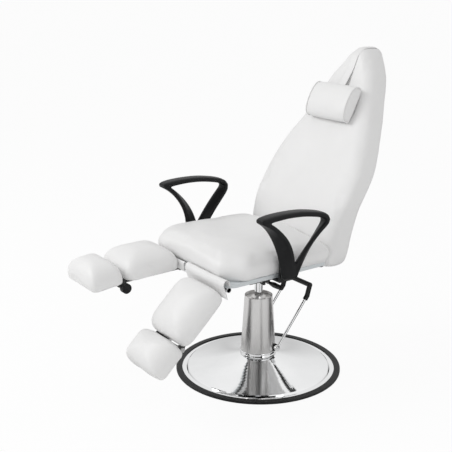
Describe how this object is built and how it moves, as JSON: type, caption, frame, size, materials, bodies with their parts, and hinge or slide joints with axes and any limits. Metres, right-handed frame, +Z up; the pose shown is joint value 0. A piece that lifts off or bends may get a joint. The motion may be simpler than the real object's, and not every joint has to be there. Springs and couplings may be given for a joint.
{
  "type": "pedicure spa chair",
  "caption": "Hydraulic pedicure spa chair with reclining padded back, sliding head pillow, loop armrests and two separate padded leg rests on a round chrome base",
  "frame": {"origin": "centre of the round base, on the floor", "axes": "+X to the sitter's left, +Y towards the rear, +Z up; the sitter faces -Y"},
  "size_m": [0.622, 1.1826, 1.1335],
  "materials": {
    "vinyl": "soft sheen, coated cloth",
    "chrome": "polished",
    "stainless": "brushed, fine",
    "ring_rubber": "matte",
    "grip_rubber": "satin",
    "zinc": "bright zinc plating",
    "grey_paint": "satin powder coat",
    "dark_plate": "dark, dull",
    "black_paint": "satin",
    "arm_plastic": "satin moulded",
    "board": "pale grey sealed board"
  },
  "bodies": {
    "base": {"base_plate": "grey_paint", "base_dish": "chrome", "rubber_ring": "ring_rubber", "pump_flange": "grey_paint", "flange_bolts": "zinc", "pump_cylinder": "grey_paint", "pump_gland": "stainless", "pump_shroud": "stainless", "shroud_collar": "chrome", "lever_brackets": "black_paint"},
    "pedal": {"foot_lever": "chrome", "foot_lever_grip": "grip_rubber"},
    "lift": {"piston_rod": "chrome"},
    "seat": {"seat_hub": "grey_paint", "mounting_plate": "dark_plate", "mounting_bolts": "zinc", "seat_frame": "grey_paint", "seat_board": "board", "seat_cushion": "vinyl", "left_arm_bracket": "black_paint", "right_arm_bracket": "black_paint", "arm_bolts": "zinc", "left_armrest": "arm_plastic", "right_armrest": "arm_plastic", "leg_hinge_tube": "chrome", "left_hinge_flap": "vinyl", "right_hinge_flap": "vinyl", "release_bracket": "black_paint", "back_hinge_ears": "grey_paint", "back_hinge_pins": "zinc"},
    "release": {"release_lever": "zinc", "release_grip": "grip_rubber"},
    "back": {"back_frame": "grey_paint", "back_board": "board", "back_cushion": "vinyl", "pillow_strap": "vinyl"},
    "pillow": {"head_pillow": "vinyl"},
    "left_leg": {"left_leg_frame": "grey_paint", "left_calf_board": "board", "left_calf_cushion": "vinyl", "left_tilt_pin": "zinc"},
    "left_foot": {"left_foot_bracket": "zinc", "left_foot_board": "board", "left_foot_cushion": "vinyl"},
    "left_knob": {"left_clamp_knob": "arm_plastic"},
    "right_leg": {"right_leg_frame": "grey_paint", "right_calf_board": "board", "right_calf_cushion": "vinyl", "right_tilt_pin": "zinc"},
    "right_foot": {"right_foot_bracket": "zinc", "right_foot_board": "board", "right_foot_cushion": "vinyl"},
    "right_knob": {"right_clamp_knob": "arm_plastic"}
  },
  "joints": [
    {"name": "pedal_hinge", "type": "hinge", "parent": "base", "child": "pedal", "pos_m": [0, 0.033, 0.087], "axis": [-1, 0, 0], "range_deg": [0, 28], "stiffness_Nm_per_rad": 12, "springref_deg": -28.65},
    {"name": "lift_slide", "type": "slide", "parent": "base", "child": "lift", "axis": [0, 0, 1], "range_m": [0, 0.14]},
    {"name": "seat_swivel", "type": "hinge", "parent": "lift", "child": "seat", "pos_m": [0, 0, 0.37], "axis": [0, 0, 1], "continuous": true},
    {"name": "release_hinge", "type": "hinge", "parent": "seat", "child": "release", "pos_m": [0.073, -0.028, 0.36], "axis": [0, -1, 0], "range_deg": [0, 18], "stiffness_Nm_per_rad": 2, "springref_deg": -17.19},
    {"name": "back_recline", "type": "hinge", "parent": "seat", "child": "back", "pos_m": [0, 0.176, 0.404], "axis": [-1, 0, 0], "range_deg": [0, 55]},
    {"name": "pillow_slide", "type": "slide", "parent": "back", "child": "pillow", "axis": [0, -0.5446, -0.8387], "range_m": [0, 0.09]},
    {"name": "left_leg_hinge", "type": "hinge", "parent": "seat", "child": "left_leg", "pos_m": [0, -0.277, 0.42], "axis": [-1, 0, 0], "range_deg": [-30, 43]},
    {"name": "left_foot_tilt", "type": "hinge", "parent": "left_leg", "child": "left_foot", "pos_m": [0, -0.44395, 0.24859], "axis": [1, 0, 0], "range_deg": [0, 40]},
    {"name": "left_knob_turn", "type": "hinge", "parent": "left_leg", "child": "left_knob", "pos_m": [0, -0.44395, 0.24859], "axis": [1, 0, 0], "range_deg": [0, 270]},
    {"name": "right_leg_hinge", "type": "hinge", "parent": "seat", "child": "right_leg", "pos_m": [0, -0.277, 0.42], "axis": [-1, 0, 0], "range_deg": [-72, 1]},
    {"name": "right_foot_tilt", "type": "hinge", "parent": "right_leg", "child": "right_foot", "pos_m": [0, -0.51576, 0.40433], "axis": [1, 0, 0], "range_deg": [-5, 35]},
    {"name": "right_knob_turn", "type": "hinge", "parent": "right_leg", "child": "right_knob", "pos_m": [0, -0.51576, 0.40433], "axis": [1, 0, 0], "range_deg": [0, 270]}
  ]
}
